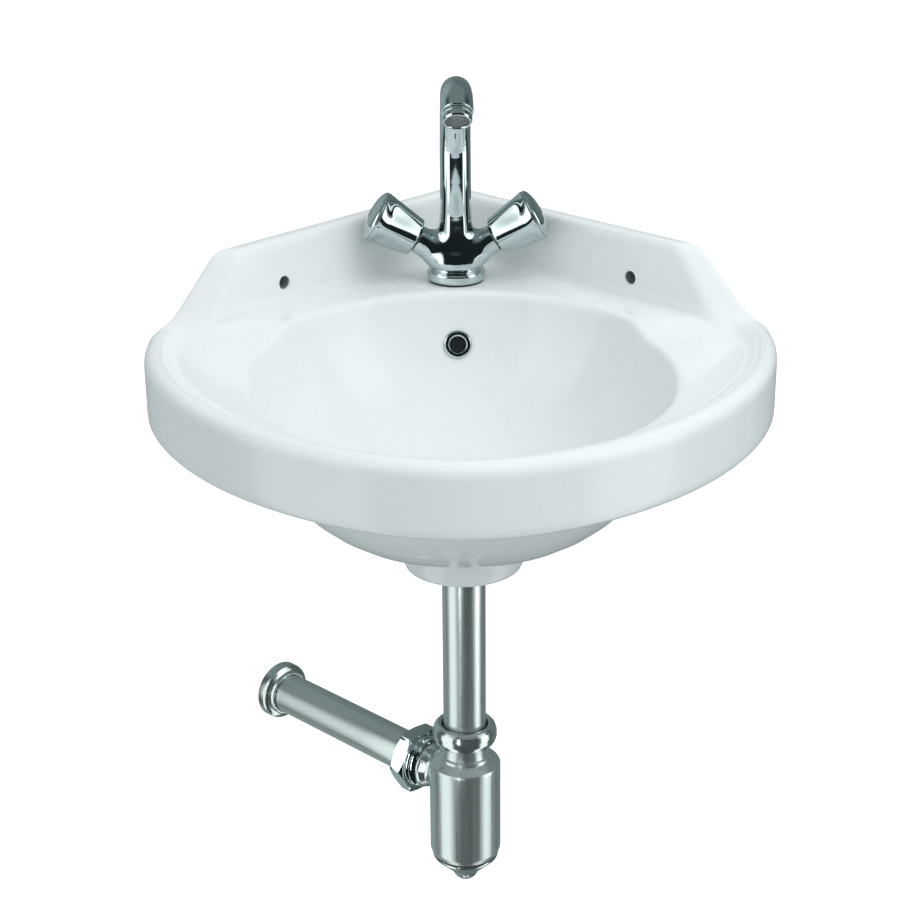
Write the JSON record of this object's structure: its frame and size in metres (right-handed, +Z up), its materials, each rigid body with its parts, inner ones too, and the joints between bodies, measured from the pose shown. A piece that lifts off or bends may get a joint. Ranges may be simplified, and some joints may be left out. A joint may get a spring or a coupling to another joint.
{
  "type": "corner wash basin with mixer and bottle trap",
  "caption": "Wall-hung ceramic basin for a room corner, with splash panels, a two-handle centre-hole mixer, a grid waste and a chrome bottle trap.",
  "frame": {"origin": "the room corner: where the two wall planes meet, at the height of the rim", "axes": "+Z up, -Y out of the corner to the front, +X to the right as seen from the front"},
  "size_m": [0.456, 0.492, 0.598],
  "materials": {
    "glaze": "glossy white glaze with a faint blue-green cast",
    "chrome_polished": "mirror-polished chrome plate",
    "chrome_satin": "polished chrome plate with a fine drawn grain",
    "brass": "machined brass",
    "steel": "zinc-plated, dull",
    "valve_ceramic": "lapped, satin",
    "rubber": "matt",
    "plastic": "moulded, satin"
  },
  "bodies": {
    "root": {"basin": "glaze", "overflow_ring": "chrome_polished", "mixer_body": "chrome_polished", "mixer_gasket": "rubber", "hot_cartridge": "brass", "cold_cartridge": "brass", "hot_seat_seal": "rubber", "cold_seat_seal": "rubber", "hot_fixed_disc": "valve_ceramic", "cold_fixed_disc": "valve_ceramic", "aerator_seal": "rubber", "aerator_insert": "plastic", "aerator_housing": "chrome_polished", "mixer_stud": "steel", "horseshoe_gasket": "rubber", "horseshoe_washer": "steel", "mixer_nut": "steel", "waste_body": "chrome_polished", "waste_seal": "rubber", "waste_washer": "rubber", "waste_nut": "brass", "tail_pipe": "chrome_satin", "inlet_seal": "rubber", "inlet_nut": "chrome_satin", "trap_body": "chrome_satin", "outlet_seal": "rubber", "outlet_nut": "chrome_satin", "outlet_pipe": "chrome_satin", "wall_flange": "chrome_satin"},
    "hot_handle": {"hot_moving_disc": "valve_ceramic", "hot_spindle": "brass", "hot_knob": "chrome_polished", "hot_knob_screw": "steel", "hot_knob_cap": "chrome_polished"},
    "cold_handle": {"cold_moving_disc": "valve_ceramic", "cold_spindle": "brass", "cold_knob": "chrome_polished", "cold_knob_screw": "steel", "cold_knob_cap": "chrome_polished"},
    "cup_ring": {"cup_seal": "rubber"},
    "cup": {"trap_cup": "chrome_satin"}
  },
  "joints": [
    {"name": "hot_handle_turn", "type": "hinge", "parent": "root", "child": "hot_handle", "pos_m": [0, -0.11, 0.016], "axis": [-0.866, 0, 0.5], "range_deg": [0, 90]},
    {"name": "cold_handle_turn", "type": "hinge", "parent": "root", "child": "cold_handle", "pos_m": [0, -0.11, 0.016], "axis": [0.866, 0, 0.5], "range_deg": [-90, 0]},
    {"name": "cup_drop", "type": "slide", "parent": "root", "child": "cup_ring", "axis": [0, 0, -1], "range_m": [0, 0.007]},
    {"name": "cup_unscrew", "type": "hinge", "parent": "cup_ring", "child": "cup", "pos_m": [0, -0.302, -0.405], "axis": [0, 0, -1], "range_deg": [0, 1080]}
  ],
  "couplings": [
    {"joint": "cup_drop", "follows": "cup_unscrew", "m_per_rad": 0.00036606}
  ]
}
